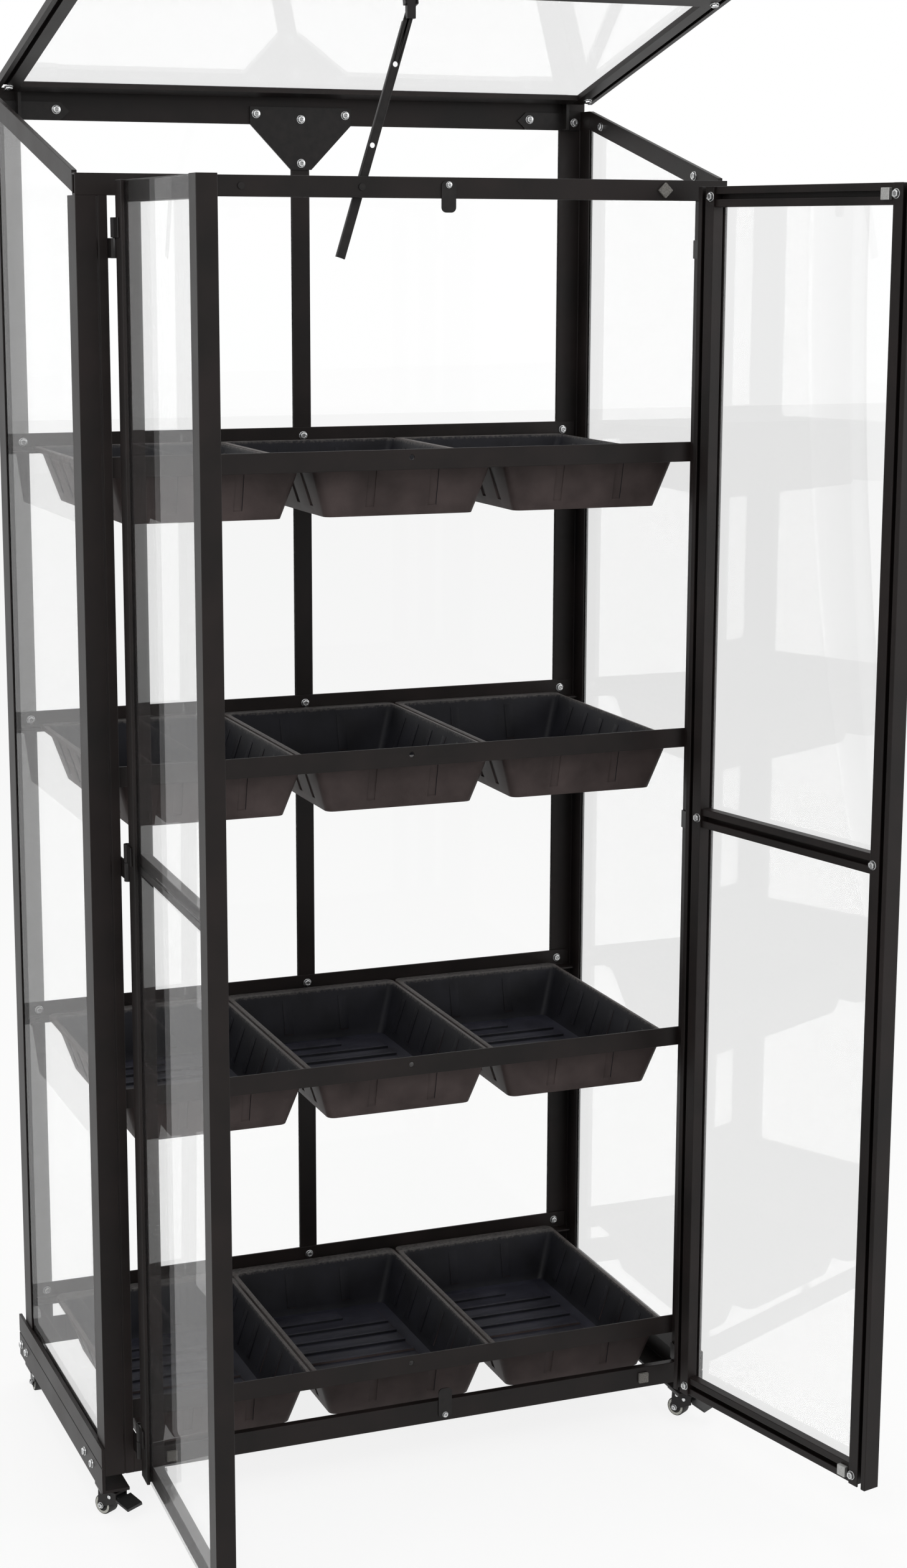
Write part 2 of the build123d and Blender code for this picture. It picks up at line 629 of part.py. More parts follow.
def caster_fork(braked):
    """Pressed fork with its axle; the braked one reaches forward for the pedal pin."""
    nose = PEDAL_AHEAD + 4 if braked else PEDAL_AHEAD - 3
    heel, toe = CASTER_TRAIL + FORK_END, CASTER_TRAIL - FORK_END
    foot, knee = WHEEL_R - FORK_END, WHEEL_R + FORK_END / 2
    cheek = [(-nose, FORK_TOP), (12, FORK_TOP), (heel + 1, knee), (heel - 1, foot), (toe + 1, foot)]
    cheek = outline(cheek + [(toe - 1, WHEEL_R), (-nose, FORK_TOP - PEDAL_DROP - 4)])
    fork = along_x(cheek, -FORK_HALF, FORK_SKIN - FORK_HALF)
    fork += along_x(cheek, FORK_HALF - FORK_SKIN, FORK_HALF)
    fork += block(-FORK_HALF, FORK_HALF, -nose, 12, FORK_TOP - CASTER_SKIN, FORK_TOP)
    fork -= round_z(0, 0, FORK_TOP - 4, FORK_TOP + 1, KING_R + RUN)
    fork += round_x(-FORK_HALF, FORK_HALF, CASTER_TRAIL, WHEEL_R, AXLE_R)
    if braked:
        fork += round_x(-FORK_HALF, FORK_HALF, -PEDAL_AHEAD, PEDAL_Z, PEDAL_PIN_R)
    return fork


def caster_wheel():
    """Wheel with a crowned tread and dished sides."""
    half = WHEEL_WIDE / 2
    hub, dish, lip = WHEEL_R * 0.42, WHEEL_R * 0.5, WHEEL_R * 0.78
    side = [(hub, -half), (dish, 1.2 - half), (lip, 1.2 - half), (lip + 0.6, -half)]
    side += [(WHEEL_R - 1.5, -half), (WHEEL_R, 2 - half)]
    other = [(r, -x) for r, x in reversed(side)]
    section = [(AXLE_R + RUN, -half)] + side + other + [(AXLE_R + RUN, half)]
    wheel = revolve(outline(section), Axis.Y).rotate(Axis.Z, -90)
    return Pos(0, CASTER_TRAIL, WHEEL_R) * wheel


def brake_pedal():
    """Foot pedal on a cross pin at the nose of the fork."""
    y, z = -PEDAL_AHEAD, PEDAL_Z
    root, tip, bend = y + 1, y - PEDAL_LONG, y - PEDAL_NECK
    upper = [(root, z + PEDAL_THICK), (bend, z + 3), (tip + 1, z - 4)]
    lever = outline(upper + [(tip, z - 7), (bend, z), (root, z - PEDAL_THICK)])
    reach = WHEEL_WIDE / 2 + 0.1
    neck = along_x(lever & rect(bend - 1, z - 9, y + 2, z + 9), -reach, reach)
    neck += round_x(-reach, reach, y, z, PEDAL_PIN_R + 1.6)
    foot = along_x(lever & rect(tip - 3, z - 9, bend, z + 9), -PEDAL_HALF, PEDAL_HALF)
    return neck + foot - round_x(-reach - 1, reach + 1, y, z, PEDAL_PIN_R + RUN)


# Seed trays
def fluted(wide, deep, corner, offset):
    """Rounded rectangle whose sides step in at evenly spaced flutes."""
    points = []
    sides = ((wide, deep, 2), (deep, wide, 3), (wide, deep, 2), (deep, wide, 3))
    for turn, (along, across, flutes) in enumerate(sides):
        side = []
        run = along / 2 - corner
        for step in range(flutes):
            middle = -run + 2 * run * (step + 0.5) / flutes
            for shift, sink in ((-0.5, 0), (-0.3, 1), (0.3, 1), (0.5, 0)):
                side.append((middle + shift * FLUTE_WIDE, -across / 2 + sink * FLUTE))
        for step in range(4):
            bend = radians(-90 + 30 * step)
            side.append((run + corner * cos(bend), -across / 2 + corner + corner * sin(bend)))
        quarter = radians(90 * turn)
        c, s = cos(quarter), sin(quarter)
        points += [(x * c - y * s, x * s + y * c) for x, y in side]
    return Plane.XY.offset(offset) * outline(points)


def seed_tray():
    """Tapered tray with fluted walls, a ribbed floor and a turned-down rim that stands on z = 0."""
    wall = 2 * TRAY_WALL
    low = RIM_TALL - TRAY_DEEP
    inner = TRAY_CORNER - 1
    top_in = (TRAY_TOP[0] - wall, TRAY_TOP[1] - wall)
    floor_in = (TRAY_FLOOR[0] - wall, TRAY_FLOOR[1] - wall)
    rim_in = (TRAY_RIM[0] - wall, TRAY_RIM[1] - wall)
    outside = [fluted(*TRAY_FLOOR, TRAY_CORNER, low), fluted(*TRAY_TOP, TRAY_CORNER, RIM_TALL)]
    inside = [fluted(*floor_in, inner, low + TRAY_WALL), fluted(*top_in, inner, RIM_TALL)]
    rim = along_z(RectangleRounded(*TRAY_RIM, RIM_CORNER), 0, RIM_TALL)
    rim -= along_z(RectangleRounded(*rim_in, RIM_CORNER - 1), 0, RIM_TALL - TRAY_WALL)
    tray = loft(outside, ruled=True) + rim - loft(inside, ruled=True)
    half, pitch = TRAY_FLOOR[0] / 2 - RIB_INSET, (TRAY_FLOOR[1] - 2 * RIB_END) / (TRAY_RIBS - 1)
    for rib in range(TRAY_RIBS):
        y = (rib - (TRAY_RIBS - 1) / 2) * pitch
        near, far = y - RIB_WIDE / 2, y + RIB_WIDE / 2
        tray += block(-half, half, near, far, low + TRAY_WALL / 2, low + TRAY_WALL + RIB_TALL)
    return tray


def tray_spots():
    """Node name and place of every tray, tier by tier from the top."""
    middle = (SHELF_FRONT + SHELF_REAR) / 2
    for tier, top in enumerate(SHELF_TOPS, 1):
        for place in range(TRAYS_ACROSS):
            x = (place - (TRAYS_ACROSS - 1) / 2) * TRAY_PITCH
            yield f"tray_{tier}_{'abc'[place]}", (x, middle, top - BAR + ANGLE)


def caster_spots():
    """Corner name, swivel position, how the caster stands turned and whether it is braked."""
    ends = (("front", CASTER_BACK, CASTER_TURN, True), ("rear", DEPTH - CASTER_BACK, 0, False))
    for end, y, turn, braked in ends:
        for side, x in (("left", CASTER_IN - HALF), ("right", HALF - CASTER_IN)):
            yield f"{end}_{side}", (x, y, 0), turn, braked


def parts():
    """Every node with its solids, in the cabinet's own frame."""
    front, rear = front_post(), rear_post()
    nodes = {
        "front_left_post": [front],
        "front_right_post": [mirror(front, about=Plane.YZ)],
        "rear_left_post": [rear],
        "rear_right_post": [mirror(rear, about=Plane.YZ)],
        "rear_stud": [rear_stud()],
        "front_top_rail": [front_top_rail()],
        "rear_top_rail": [rear_top_rail()],
        "rafters": both_sides(rafter()),
        "base_rails": base_rails(),
        "side_panes": both_sides(side_pane()),
        "back_panes": both_sides(back_pane()),
        "rear_plates": [gusset()] + both_sides(lid_bracket()),
        "frame_bolts": frame_bolts(),
        "strike_plates": strike_plates(),
        "bumper_pads": bumper_pads(),
        "stay_pegs": stay_pegs(),
        "post_hinges": [half for z in HINGE_HEIGHTS for half in both_sides(post_hinge(z))],
    }
    for tier, top in enumerate(SHELF_TOPS, 1):
        nodes[f"shelf_{tier}_rails"] = shelf_rails(top)
    pieces = {"frame": door_frame(), "panes": door_panes()}
    pieces |= {"hinges": door_hinges(), "bolts": door_bolts()}
    for name, shapes in pieces.items():
        nodes[f"left_door_{name}"] = hang_left(shapes)
        nodes[f"right_door_{name}"] = hang_right(shapes)
    nodes["right_door_magnets"] = hang_right(door_magnets())
    nodes["lid_frame"] = raise_lid(lid_frame())
    nodes["lid_hinge_rail"] = raise_lid([lid_hinge_rail()])
    nodes["lid_pane"] = raise_lid([lid_pane()])
    nodes["lid_bolts"] = raise_lid(lid_bolts())
    nodes["stay_bracket"] = raise_lid([stay_bracket()])
    nodes["stay_swivel"] = [stay_swivel()]
    nodes["stay_bar"] = [stay_bar()]
    nodes["caster_plates"] = []
    for corner, place, turn, braked in caster_spots():
        spot = Pos(*place) * Rot(0, 0, turn)
        nodes["caster_plates"].append(Pos(*place) * caster_plate())
        nodes[f"fork_{corner}"] = [spot * caster_fork(braked)]
        nodes[f"wheel_{corner}"] = [spot * caster_wheel()]
        if braked:
            nodes[f"pedal_{corner}"] = [spot * brake_pedal()]
    tray = seed_tray()
    for name, place in tray_spots():
        nodes[name] = [Pos(*place) * tray]
    return nodes


def origin_shift(nodes):
    """Move that puts the origin on the floor under the middle of the whole as it stands."""
    solids = [solid for shapes in nodes.values() for shape in shapes for solid in shape.solids()]
    box = Compound(solids).bounding_box()
    return (-(box.min.X + box.max.X) / 2, -(box.min.Y + box.max.Y) / 2, 0)


def main():
    os.makedirs("parts", exist_ok=True)
    nodes = parts()
    shift = origin_shift(nodes)
    for name, shapes in nodes.items():
        solids = [solid for shape in shapes for solid in shape.solids()]
        export_step(Pos(*shift) * Compound(solids), f"parts/{name}.step")


if __name__ == "__main__":
    main()
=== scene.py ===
"""Lean-to mini greenhouse, dressed around its CAD frame."""
import json
from math import cos, pi, radians, sin

import bmesh
import bpy
from mathutils import Matrix, Vector


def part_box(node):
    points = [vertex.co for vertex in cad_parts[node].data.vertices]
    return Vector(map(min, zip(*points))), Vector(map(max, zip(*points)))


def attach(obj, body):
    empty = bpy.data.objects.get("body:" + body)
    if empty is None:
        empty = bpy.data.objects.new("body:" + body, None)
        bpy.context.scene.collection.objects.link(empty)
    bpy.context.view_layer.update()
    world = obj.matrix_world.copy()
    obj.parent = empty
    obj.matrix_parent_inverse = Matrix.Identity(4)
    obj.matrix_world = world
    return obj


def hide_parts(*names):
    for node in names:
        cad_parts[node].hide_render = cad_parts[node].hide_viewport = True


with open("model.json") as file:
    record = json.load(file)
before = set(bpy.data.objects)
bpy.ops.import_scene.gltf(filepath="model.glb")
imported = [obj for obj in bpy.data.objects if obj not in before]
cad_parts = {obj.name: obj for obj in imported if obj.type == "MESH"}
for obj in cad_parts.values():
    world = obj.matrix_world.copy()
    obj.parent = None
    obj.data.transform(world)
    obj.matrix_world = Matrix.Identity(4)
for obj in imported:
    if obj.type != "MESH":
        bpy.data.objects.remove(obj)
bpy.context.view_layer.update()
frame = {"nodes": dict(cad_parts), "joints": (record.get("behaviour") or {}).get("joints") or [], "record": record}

NODES = frame["nodes"]

# Lengths in metres. Seed tray, about its own middle with the rim standing on z = 0
RIM = (0.2396, 0.3936)
RIM_TALL = 0.006
WALL_TOP = (0.2301, 0.352)
WALL_FOOT = (0.1881, 0.322)
TRAY_LOW = -0.059
TRAY_SHEET = 0.0014
TRAY_CORNER = 0.009
SIDE_FLUTES = 6
END_FLUTES = 2
FLUTE_WIDE = 0.011
FLUTE_DEEP = 0.0014
FLUTE_TOP = 0.008
FLUTE_FOOT = 0.010
FLUTE_CLEAR = 0.012
FLUTE_SLOPE = 0.93
FLOOR_EDGE = 0.016
FIELD_TALL = 0.0018
FIELD_SLOPE = 0.002
BED_TALL = 0.012
FLOOR_RIBS = 7
RIB_WIDE = 0.0045
RIB_TALL = 0.003
RIB_HALF = 0.074
RIB_CLEAR = 0.03
# Raised patch at the back of the floor: its two sides and its depth
PATCH_X = (-0.074, 0.018)
PATCH_LONG = 0.026
PATCH_TALL = 0.003
PATCH_CLEAR = 0.004
# Tray scuffs with painted highlight: how far under the top they start, the rise to full strength, and the share on
# the ribs' tops
SCUFF_AND_HIGHLIGHT_START = 0.0035
SCUFF_AND_HIGHLIGHT_RISE = 0.003
RIB_SCUFF_AND_HIGHLIGHT = 0.55
RIB_TOPS = (0.0036, 0.006)
# Flanged hexagon bolt
FLANGE_R = 0.0056
FLANGE_TALL = 0.0009
HEX_R = 0.0047
HEX_TALL = 0.0026
DISH_R = 0.0024
DISH_MID = 0.0018
# Caster wheel, how far its pale ring's two edges lie in from the tread, and rivet
WHEEL_R = 0.0125
WHEEL_WIDE = 0.015
RING_BAND = (0.0014, 0.0044)
RIVET_R = 0.0026
RIVET_TALL = 0.0012
CHEEK = 0.010
CHEEK_RIVETS = ((0.0036, 0.0185), (0.0144, 0.0148))
AXLE_HEAD = 0.72
# Head on a strike plate: its size beside a frame bolt, and how far it sits from the plate's end
STRIKE_HEAD = 0.68
STRIKE_SEAT = 0.0046
# Edge rounding left by extruding, sawing and coating, and by forming the trays
EDGE = 0.0006
TRAY_EDGE = 0.0006
WELD = 0.00002
# Heights that part the side rails' bolts from the rafters', and the upper catch from the lower
BASE_TOP = 0.3
MIDWAY = 0.8
# Share of a pane that lets the view straight through, the floor's glow and the air's strength as light
PANE_THROUGH = 0.8
FLOOR_GLOW = 0.84
AIR_LIGHT = 0.55
# View: place of the lens from the foot of the cabinet's front middle, turn, tilt and roll in degrees,
# and lens length in picture widths
LENS_AT = (-1.122743, -2.951224, 1.522916)
LENS_TURN = 21.65
LENS_TILT = -11.42
LENS_ROLL = 0.203
LENS_LONG = 4312.95 / 1457
SENSOR_MM = 36.0


# Colour and nodes
def paint(code):
    """Linear colour of an sRGB hex code."""
    parts = [int(code[i:i + 2], 16) / 255 for i in (1, 3, 5)]
    return [p / 12.92 if p <= 0.04045 else ((p + 0.055) / 1.055) ** 2.4 for p in parts] + [1.0]


def node(tree, kind, sockets=None, stops=None, **settings):
    """Adds a node with its settings, socket values or links, and colour stops."""
    made = tree.nodes.new(kind)
    for name, value in settings.items():
        setattr(made, name, value)
    for name, value in (sockets or {}).items():
        socket = made.inputs[name]
        if isinstance(value, bpy.types.NodeSocket):
            tree.links.new(value, socket)
        else:
            socket.default_value = value
    for index, (place, code) in enumerate(stops or []):
        ramp = made.color_ramp.elements
        stop = ramp[index] if index < 2 else ramp.new(place)
        stop.position = place
        stop.color = paint(code)
    return made


def finish(name):
    """New material with an empty tree, its Object coordinates and its shader."""
    material = bpy.data.materials.new(name)
    material.use_nodes = True
    tree = material.node_tree
    tree.nodes.clear()
    spot = node(tree, "ShaderNodeTexCoord").outputs["Object"]
    shader = node(tree, "ShaderNodeBsdfPrincipled")
    node(tree, "ShaderNodeOutputMaterial", {"Surface": shader.outputs["BSDF"]})
    return material, tree, spot, shader


# Materials
def powder_coated_aluminium():
    """Extruded aluminium under satin black polyester powder."""
    # A warm black skin: broad soft highlights, faint orange peel and a little uneven dust
    material, tree, spot, shader = finish("powder_coated_aluminium")
    cloud = node(tree, "ShaderNodeTexNoise", {"Vector": spot, "Scale": 14.0, "Detail": 4.0})
    tint = node(tree, "ShaderNodeValToRGB", {"Fac": cloud.outputs["Fac"]},
                [(0.32, "#100d0c"), (0.72, "#1c1615")])
    # Orange peel is about 1 mm across; drawn at 3 mm so that it shows
    peel = node(tree, "ShaderNodeTexNoise", {"Vector": spot, "Scale": 330.0, "Detail": 2.0})
    skin = node(tree, "ShaderNodeBump",
                {"Height": peel.outputs["Fac"], "Strength": 0.16, "Distance": 0.0004})
    gloss = node(tree, "ShaderNodeMapRange",
                 {"Value": cloud.outputs["Fac"], "To Min": 0.36, "To Max": 0.5})
    tree.links.new(tint.outputs["Color"], shader.inputs["Base Color"])
    tree.links.new(gloss.outputs["Result"], shader.inputs["Roughness"])
    tree.links.new(skin.outputs["Normal"], shader.inputs["Normal"])
    # Shine set under the default, to match the object's dull profiles
    shader.inputs["IOR"].default_value = 1.5
    shader.inputs["Specular IOR Level"].default_value = 0.2
    return material


def painted_steel():
    """Pressed steel in black stove paint."""
    # Cooler and glossier than the powder, with a slight ripple from the press
    material, tree, spot, shader = finish("painted_pressed_steel")
    ripple = node(tree, "ShaderNodeTexNoise", {"Vector": spot, "Scale": 120.0, "Detail": 3.0})
    tint = node(tree, "ShaderNodeValToRGB", {"Fac": ripple.outputs["Fac"]},
                [(0.3, "#0e0c0c"), (0.75, "#1a1716")])
    skin = node(tree, "ShaderNodeBump",
                {"Height": ripple.outputs["Fac"], "Strength": 0.12, "Distance": 0.0005})
    gloss = node(tree, "ShaderNodeMapRange",
                 {"Value": ripple.outputs["Fac"], "To Min": 0.26, "To Max": 0.42})
    tree.links.new(tint.outputs["Color"], shader.inputs["Base Color"])
    tree.links.new(gloss.outputs["Result"], shader.inputs["Roughness"])
    tree.links.new(skin.outputs["Normal"], shader.inputs["Normal"])
    shader.inputs["IOR"].default_value = 1.5
    shader.inputs["Specular IOR Level"].default_value = 0.25
    return material


def zinc_plated_steel():
    """Cold-headed steel with bright zinc plating."""
    # Pale cool metal, brightest on the flats, with darker plating bloom and painted shade in the creases
    material, tree, spot, shader = finish("zinc_plated_steel")
    bloom = node(tree, "ShaderNodeTexNoise", {"Vector": spot, "Scale": 380.0, "Detail": 3.0})
    tint = node(tree, "ShaderNodeValToRGB", {"Fac": bloom.outputs["Fac"]},
                [(0.25, "#a6a7a9"), (0.6, "#dcdddd")])
    # Painted shade: a dark colour mixed into the plating where the bolts mark their creases
    crease = node(tree, "ShaderNodeAttribute", attribute_name="crease")
    crease_shaded = node(tree, "ShaderNodeMix", {"Factor": crease.outputs["Fac"], "A": tint.outputs["Color"],
                                         "B": paint("#1f1d1c")}, data_type="RGBA")
    gloss = node(tree, "ShaderNodeMapRange",
                 {"Value": bloom.outputs["Fac"], "To Min": 0.38, "To Max": 0.2})
    tree.links.new(crease_shaded.outputs["Result"], shader.inputs["Base Color"])
    tree.links.new(gloss.outputs["Result"], shader.inputs["Roughness"])
    shader.inputs["Metallic"].default_value = 1.0
    return material


def nickel_plated_magnet():
    """Sintered magnet in a dull nickel skin."""
    # Greyer and softer than the zinc, with a fine sintered grain
    material, tree, spot, shader = finish("nickel_plated_magnet")
    grain = node(tree, "ShaderNodeTexNoise", {"Vector": spot, "Scale": 700.0, "Detail": 2.0})
    tint = node(tree, "ShaderNodeValToRGB", {"Fac": grain.outputs["Fac"]},
                [(0.3, "#a3a3a1"), (0.7, "#bcbcba")])
    skin = node(tree, "ShaderNodeBump",
                {"Height": grain.outputs["Fac"], "Strength": 0.2, "Distance": 0.0002})
    tree.links.new(tint.outputs["Color"], shader.inputs["Base Color"])
    tree.links.new(skin.outputs["Normal"], shader.inputs["Normal"])
    shader.inputs["Metallic"].default_value = 1.0
    shader.inputs["Roughness"].default_value = 0.55
    return material


def foam_pad():
    """Die-cut grey EVA foam."""
    # Matt and slightly mottled, with cells cut open at its faces
    material, tree, spot, shader = finish("grey_eva_foam")
    # Cells are about 0.3 mm; drawn at 1.2 mm so that they show
    cells = node(tree, "ShaderNodeTexVoronoi", {"Vector": spot, "Scale": 800.0})
    tint = node(tree, "ShaderNodeValToRGB", {"Fac": cells.outputs["Distance"]},
                [(0.0, "#454340"), (0.7, "#6e6c68")])
    skin = node(tree, "ShaderNodeBump",
                {"Height": cells.outputs["Distance"], "Strength": 0.4, "Distance": 0.0004})
    tree.links.new(tint.outputs["Color"], shader.inputs["Base Color"])
    tree.links.new(skin.outputs["Normal"], shader.inputs["Normal"])
    shader.inputs["Roughness"].default_value = 0.9
    return material


def clear_acrylic():
    """Cast acrylic sheet."""
    # Almost invisible face on, glossy at a slant, with a faint wave in its reflections; its index starts
    # from 1.49 and is set lower, to match the object's weak reflections
    material, tree, spot, shader = finish("clear_cast_acrylic")
    wave = node(tree, "ShaderNodeTexNoise", {"Vector": spot, "Scale": 7.0, "Detail": 1.0})
    skin = node(tree, "ShaderNodeBump",
                {"Height": wave.outputs["Fac"], "Strength": 0.02, "Distance": 0.001})
    tint = node(tree, "ShaderNodeValToRGB", {"Fac": wave.outputs["Fac"]},
                [(0.3, "#fdfffe"), (0.7, "#ffffff")])
    tree.links.new(tint.outputs["Color"], shader.inputs["Base Color"])
    tree.links.new(skin.outputs["Normal"], shader.inputs["Normal"])
    shader.inputs["IOR"].default_value = 1.35
    shader.inputs["Roughness"].default_value = 0.0
    shader.inputs["Transmission Weight"].default_value = 1.0
    # Lamps reach what stands behind the sheet, and most of the view goes straight through as well, which
    # keeps the reflections weak
    path = node(tree, "ShaderNodeLightPath")
    share = node(tree, "ShaderNodeMath", {0: path.outputs["Is Shadow Ray"], 1: PANE_THROUGH},
                 operation="MAXIMUM")
    through = node(tree, "ShaderNodeBsdfTransparent")
    mixed = node(tree, "ShaderNodeMixShader", {0: share.outputs["Value"], 1: shader.outputs["BSDF"],
                                               2: through.outputs["BSDF"]})
    out = next(n for n in tree.nodes if n.type == "OUTPUT_MATERIAL")
    tree.links.new(mixed.outputs["Shader"], out.inputs["Surface"])
    return material


def tray_polypropylene():
    """Vacuum-formed black polypropylene."""
    # Black inside, with the floor painted bluish and paler as light from above; paler and warmer on the outer
    # faces; grey scuffs with painted highlight on the rim and the ribs' tops
    material, tree, spot, shader = finish("black_formed_polypropylene")
    cloud = node(tree, "ShaderNodeTexNoise", {"Vector": spot, "Scale": 22.0, "Detail": 4.0})
    inner_tone = node(tree, "ShaderNodeValToRGB", {"Fac": cloud.outputs["Fac"]},
                 [(0.3, "#131316"), (0.75, "#1e1e23")])
    bluish = node(tree, "ShaderNodeValToRGB", {"Fac": cloud.outputs["Fac"]},
                  [(0.3, "#1a1a21"), (0.75, "#2a2a33")])
    # Painted light: up-facing floor faces get a paler bluish colour, as lit from above
    bed = node(tree, "ShaderNodeAttribute", attribute_name="bed")
    inside = node(tree, "ShaderNodeMix", {"Factor": bed.outputs["Fac"], "A": inner_tone.outputs["Color"],
                                          "B": bluish.outputs["Color"]}, data_type="RGBA")
    # Paler, warmer colour on the outer faces and the underside than on the inner walls
    outer_tone = node(tree, "ShaderNodeValToRGB", {"Fac": cloud.outputs["Fac"]},
                 [(0.3, "#302928"), (0.75, "#463d3c")])
    outside = node(tree, "ShaderNodeAttribute", attribute_name="outside")
    body = node(tree, "ShaderNodeMix", {"Factor": outside.outputs["Fac"], "A": inside.outputs["Result"],
                                        "B": outer_tone.outputs["Color"]}, data_type="RGBA")
    wear_and_highlight = node(tree, "ShaderNodeAttribute", attribute_name="scuff")
    # Scuffs and painted highlights are 2 to 6 mm marks
    marks = node(tree, "ShaderNodeTexNoise",
                 {"Vector": spot, "Scale": 240.0, "Detail": 4.0, "Roughness": 0.65})
    worn_and_lit = node(tree, "ShaderNodeMath",
                {0: wear_and_highlight.outputs["Fac"], 1: marks.outputs["Fac"]}, operation="MULTIPLY")
    share = node(tree, "ShaderNodeMapRange",
                 {"Value": worn_and_lit.outputs["Value"], "From Min": 0.3, "From Max": 0.62})
    # Pale grey for scuffs, brightened as a painted highlight on the rim and rib tops
    scuffed_and_lit = node(tree, "ShaderNodeMix", {"Factor": share.outputs["Result"], "A": body.outputs["Result"],
                                           "B": paint("#4d4a48")}, data_type="RGBA")
    # Forming grain is about 0.5 mm; drawn at 2 mm so that it shows
    grain = node(tree, "ShaderNodeTexNoise", {"Vector": spot, "Scale": 500.0, "Detail": 2.0})
    skin = node(tree, "ShaderNodeBump",
                {"Height": grain.outputs["Fac"], "Strength": 0.2, "Distance": 0.0004})
    gloss = node(tree, "ShaderNodeMapRange",
                 {"Value": cloud.outputs["Fac"], "To Min": 0.42, "To Max": 0.6})
    tree.links.new(scuffed_and_lit.outputs["Result"], shader.inputs["Base Color"])
    tree.links.new(gloss.outputs["Result"], shader.inputs["Roughness"])
    tree.links.new(skin.outputs["Normal"], shader.inputs["Normal"])
    shader.inputs["IOR"].default_value = 1.49
    shader.inputs["Specular IOR Level"].default_value = 0.12
    return material


def wheel_rubber():
    """Moulded black rubber tread."""
    # Matt near-black, greyed by floor dust
    material, tree, spot, shader = finish("moulded_black_rubber")
    dust = node(tree, "ShaderNodeTexNoise", {"Vector": spot, "Scale": 260.0, "Detail": 4.0})
    tint = node(tree, "ShaderNodeValToRGB", {"Fac": dust.outputs["Fac"]},
                [(0.35, "#121212"), (0.8, "#2b2a28")])
    tree.links.new(tint.outputs["Color"], shader.inputs["Base Color"])
    shader.inputs["Roughness"].default_value = 0.72
    return material


def ring_nylon():
    """Moulded light grey nylon."""
    # Pale warm grey with a soft sheen and faint flow marks
    material, tree, spot, shader = finish("light_grey_nylon")
    flow = node(tree, "ShaderNodeTexNoise", {"Vector": spot, "Scale": 300.0, "Detail": 3.0})
    tint = node(tree, "ShaderNodeValToRGB", {"Fac": flow.outputs["Fac"]},
                [(0.3, "#9b9b94"), (0.7, "#b9b9b1")])
    tree.links.new(tint.outputs["Color"], shader.inputs["Base Color"])
    shader.inputs["Roughness"].default_value = 0.45
    return material


def pedal_nylon():
    """Moulded black nylon."""
    # Black with a fine eroded grain
    material, tree, spot, shader = finish("black_nylon")
    grain = node(tree, "ShaderNodeTexNoise", {"Vector": spot, "Scale": 600.0, "Detail": 2.0})
    tint = node(tree, "ShaderNodeValToRGB", {"Fac": grain.outputs["Fac"]},
                [(0.3, "#0f0f0f"), (0.7, "#1b1b1b")])
    skin = node(tree, "ShaderNodeBump",
                {"Height": grain.outputs["Fac"], "Strength": 0.25, "Distance": 0.0003})
    tree.links.new(tint.outputs["Color"], shader.inputs["Base Color"])
    tree.links.new(skin.outputs["Normal"], shader.inputs["Normal"])
    shader.inputs["Roughness"].default_value = 0.48
    return material


FINISHES = {
    "black_aluminium": powder_coated_aluminium(),
    "black_steel": painted_steel(),
    "zinc_steel": zinc_plated_steel(),
    "magnet": nickel_plated_magnet(),
    "foam": foam_pad(),
    "clear_sheet": clear_acrylic(),
    "tray_plastic": tray_polypropylene(),
    "wheel_rubber": wheel_rubber(),
    "pedal_plastic": pedal_nylon(),
}
RING = ring_nylon()


# Hand modelling
def begin(add, **sizes):
    """Adds a primitive with nothing else selected and opens it for editing."""
    if bpy.context.mode != "OBJECT":
        bpy.ops.object.mode_set(mode="OBJECT")
    bpy.ops.object.select_all(action="DESELECT")
    add(**sizes)
    piece = bpy.context.object
    bpy.ops.object.transform_apply(location=True, rotation=True, scale=True)
    bpy.ops.object.mode_set(mode="EDIT")
    return piece


def pick(piece, kind, test):
    """In edit mode, selects just the faces, edges or verts that pass the test."""
    bpy.ops.mesh.select_mode(type={"faces": "FACE", "edges": "EDGE", "verts": "VERT"}[kind])
    bpy.ops.mesh.select_all(action="DESELECT")
    mesh = bmesh.from_edit_mesh(piece.data)
    for item in getattr(mesh, kind):
        if test(item):
            item.select_set(True)
    mesh.select_flush_mode()
    bmesh.update_edit_mesh(piece.data)


def middle(edge):
    """Middle of an edge."""
    return (edge.verts[0].co + edge.verts[1].co) / 2


def apply_modifier(piece, kind, **settings):
    """Adds a modifier and applies it."""
    added = piece.modifiers.new(kind.lower(), kind)
    for name, value in settings.items():
        setattr(added, name, value)
    bpy.ops.object.modifier_apply(modifier=added.name)


